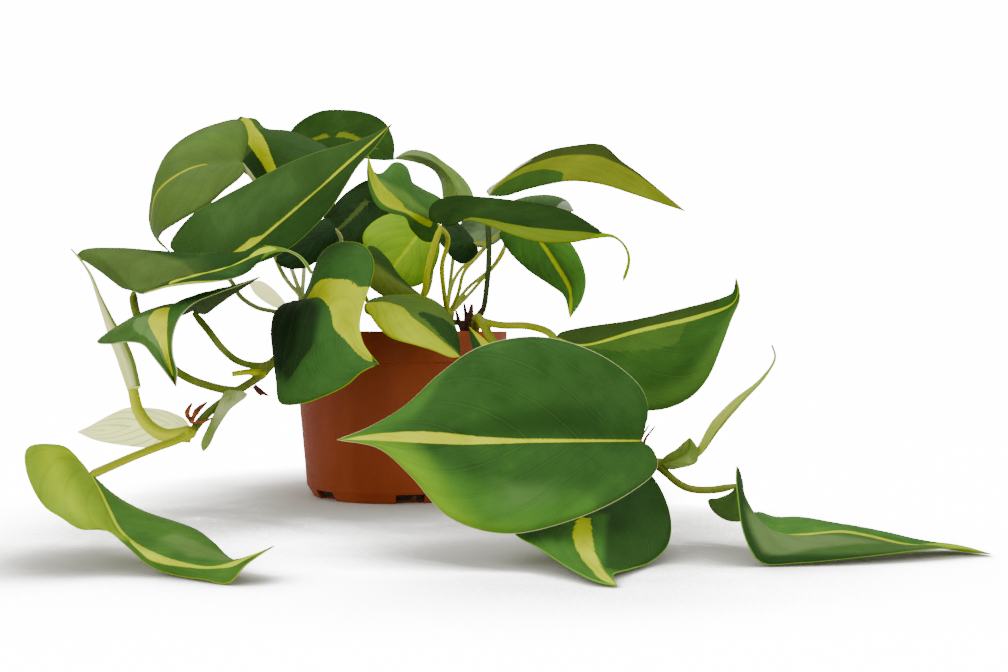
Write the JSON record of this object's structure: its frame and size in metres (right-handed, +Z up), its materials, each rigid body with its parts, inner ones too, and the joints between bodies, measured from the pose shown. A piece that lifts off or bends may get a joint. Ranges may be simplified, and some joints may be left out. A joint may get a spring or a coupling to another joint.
{
  "type": "potted trailing plant",
  "caption": "Trailing philodendron with heart-shaped green leaves striped in lime and yellow, rooted in a tapered brown nursery pot.",
  "frame": {"origin": "middle of the flat underside of the pot, on the surface that the pot stands on", "axes": "+Z up along the pot's axis, +X to the viewer's right and +Y away from the viewer in the front view; the long vines hang to -Y"},
  "size_m": [0.4034, 0.3715, 0.2344],
  "materials": {
    "leaf_green": "waxy, half gloss, with lime and yellow stripes along the rib",
    "leaf_lime": "waxy, lets light through",
    "stem_green": "smooth, half gloss",
    "sheath_pale": "papery, fine veined",
    "root_brown": "dry, rough",
    "pot_plastic": "satin brown plastic",
    "potting_soil": "crumbly, matt"
  },
  "bodies": {
    "root": {"dried_crown": "root_brown", "leaf_back_small": "leaf_green", "leaf_centre": "leaf_green", "leaf_diagonal": "leaf_green", "leaf_floor_left": "leaf_green", "leaf_floor_right": "leaf_green", "leaf_folded": "leaf_green", "leaf_front": "leaf_green", "leaf_grey_back": "leaf_green", "leaf_hanging": "leaf_green", "leaf_left": "leaf_green", "leaf_lime_back": "leaf_lime", "leaf_middle": "leaf_green", "leaf_olive": "leaf_green", "leaf_pale_back": "leaf_lime", "leaf_right": "leaf_green", "leaf_rim": "leaf_lime", "leaf_rim_left": "leaf_green", "leaf_shade_high": "leaf_green", "leaf_shade_low": "leaf_green", "leaf_shade_small": "leaf_green", "leaf_striped": "leaf_green", "leaf_tip_front": "leaf_green", "leaf_top_back": "leaf_green", "leaf_top_left": "leaf_green", "leaf_top_right": "leaf_green", "leaf_under_front": "leaf_green", "pot": "pot_plastic", "rolled_leaf_left": "leaf_lime", "rolled_leaf_right": "leaf_lime", "roots_left_end": "root_brown", "roots_left_node": "root_brown", "roots_right": "root_brown", "sheath_cream": "sheath_pale", "sheath_green_left": "sheath_pale", "sheath_papery_left": "sheath_pale", "sheath_right": "stem_green", "soil": "potting_soil", "vine_back_left": "stem_green", "vine_back_right": "stem_green", "vine_centre": "stem_green", "vine_left": "stem_green", "vine_right": "stem_green"}
  },
  "joints": []
}
